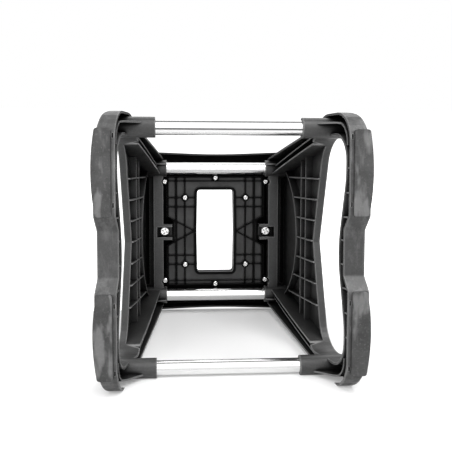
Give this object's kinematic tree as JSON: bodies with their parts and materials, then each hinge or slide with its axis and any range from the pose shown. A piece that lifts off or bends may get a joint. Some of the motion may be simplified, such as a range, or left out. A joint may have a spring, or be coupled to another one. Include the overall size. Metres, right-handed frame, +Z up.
{
  "type": "moulded work stand",
  "caption": "Rigid work stand: flared, ribbed moulded side frames with tube sockets, bright cross tubes, a screwed-down flat deck with a hand window, and soft foot pads.",
  "frame": {"origin": "on the floor under the middle of the stand, at the centre of the overall box's bottom face", "axes": "+Z up from the soles to the deck, +X across the stand from side frame to side frame along the tubes, +Y along its depth"},
  "size_m": [0.3812, 0.3918, 0.3998],
  "materials": {
    "frame_plastic": "black moulded plastic with a fine grain, scuffed on the feet",
    "deck_plastic": "black moulded plastic with a fine grain",
    "plate_plastic": "dark grey moulded plastic, slightly glossy",
    "pad_rubber": "dark grey rubber, worn and dusty",
    "mat_rubber": "black ribbed rubber",
    "tube_chrome": "bright plated steel tube with faint lengthwise draw lines",
    "zinc": "zinc-plated steel",
    "screw_zinc": "bright zinc-plated screws with a cross recess"
  },
  "bodies": {
    "root": {"side_frame_left": "frame_plastic", "side_frame_right": "frame_plastic", "foot_pad_front_left": "pad_rubber", "foot_pad_front_right": "pad_rubber", "foot_pad_rear_left": "pad_rubber", "foot_pad_rear_right": "pad_rubber", "lower_tube_front": "tube_chrome", "lower_tube_rear": "tube_chrome", "upper_tube_front": "tube_chrome", "upper_tube_rear": "tube_chrome", "tube_plugs_left": "zinc", "tube_plugs_right": "zinc", "tube_washers_left": "zinc", "tube_washers_right": "zinc", "tube_bolts_left": "zinc", "tube_bolts_right": "zinc", "deck_shell": "deck_plastic", "deck_brace_plate": "plate_plastic", "grip_mat": "mat_rubber", "deck_screws": "screw_zinc", "frame_screws": "screw_zinc"}
  },
  "joints": []
}
